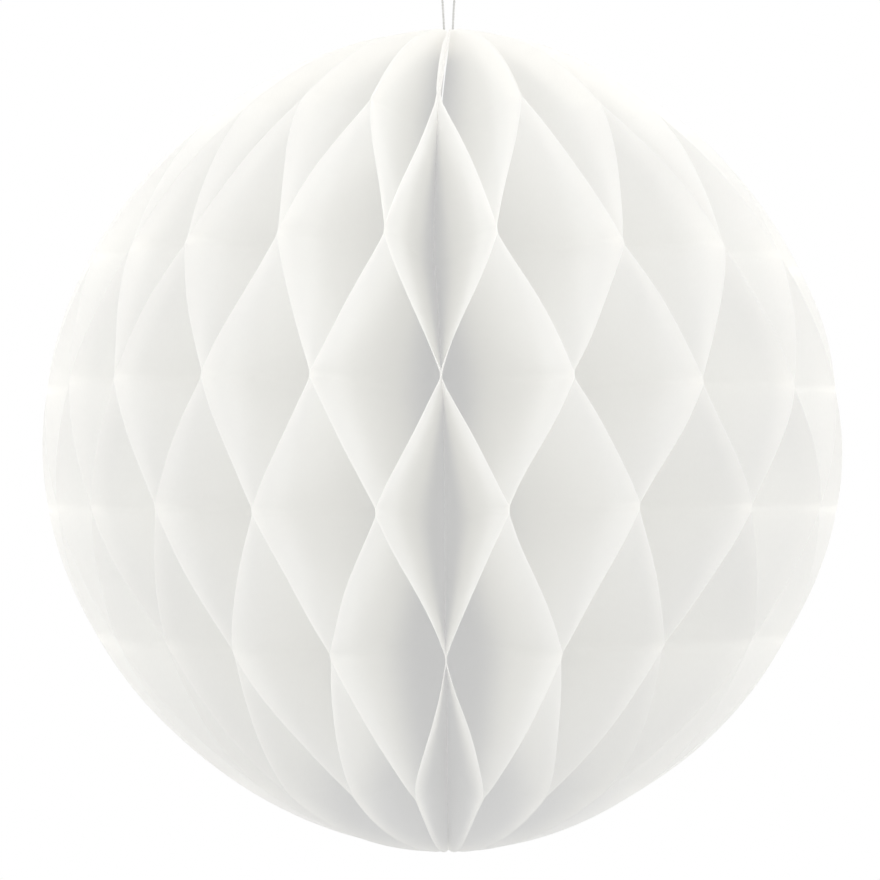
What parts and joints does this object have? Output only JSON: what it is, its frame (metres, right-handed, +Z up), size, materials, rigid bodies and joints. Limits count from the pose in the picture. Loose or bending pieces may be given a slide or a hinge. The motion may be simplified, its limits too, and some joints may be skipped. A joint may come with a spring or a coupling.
{
  "type": "honeycomb paper ball",
  "caption": "Round honeycomb ball of thin white tissue leaves, glued in staggered rows and fanned about a spine, with a thread loop to hang it by.",
  "frame": {"origin": "middle of the ball, on the spine that the leaves fan out from", "axes": "+Z up along the spine to the hanging loop, -Y to the front, +X to the right from the front"},
  "size_m": [0.1998, 0.1999, 0.2344],
  "materials": {
    "tissue_paper": "thin white tissue, matt and translucent, with a fine fibre grain",
    "thread": "fine off-white sewing thread, matt"
  },
  "bodies": {
    "root": {"tissue_leaf_01": "tissue_paper", "tissue_leaf_02": "tissue_paper", "tissue_leaf_03": "tissue_paper", "tissue_leaf_04": "tissue_paper", "tissue_leaf_05": "tissue_paper", "tissue_leaf_06": "tissue_paper", "tissue_leaf_07": "tissue_paper", "tissue_leaf_08": "tissue_paper", "tissue_leaf_09": "tissue_paper", "tissue_leaf_10": "tissue_paper", "tissue_leaf_11": "tissue_paper", "tissue_leaf_12": "tissue_paper", "tissue_leaf_13": "tissue_paper", "tissue_leaf_14": "tissue_paper", "tissue_leaf_15": "tissue_paper", "tissue_leaf_16": "tissue_paper", "tissue_leaf_17": "tissue_paper", "tissue_leaf_18": "tissue_paper", "tissue_leaf_19": "tissue_paper", "tissue_leaf_20": "tissue_paper", "tissue_leaf_21": "tissue_paper", "tissue_leaf_22": "tissue_paper", "tissue_leaf_23": "tissue_paper", "tissue_leaf_24": "tissue_paper", "tissue_leaf_25": "tissue_paper", "tissue_leaf_26": "tissue_paper", "tissue_leaf_27": "tissue_paper", "tissue_leaf_28": "tissue_paper", "tissue_leaf_29": "tissue_paper", "tissue_leaf_30": "tissue_paper", "tissue_leaf_31": "tissue_paper", "tissue_leaf_32": "tissue_paper", "tissue_leaf_33": "tissue_paper", "tissue_leaf_34": "tissue_paper", "tissue_leaf_35": "tissue_paper", "tissue_leaf_36": "tissue_paper", "tissue_leaf_37": "tissue_paper", "tissue_leaf_38": "tissue_paper", "tissue_leaf_39": "tissue_paper", "tissue_leaf_40": "tissue_paper", "tissue_leaf_41": "tissue_paper", "tissue_leaf_42": "tissue_paper", "tissue_leaf_43": "tissue_paper", "tissue_leaf_44": "tissue_paper", "thread_tail_left": "thread", "thread_tail_right": "thread", "hanging_loop": "thread"}
  },
  "joints": []
}
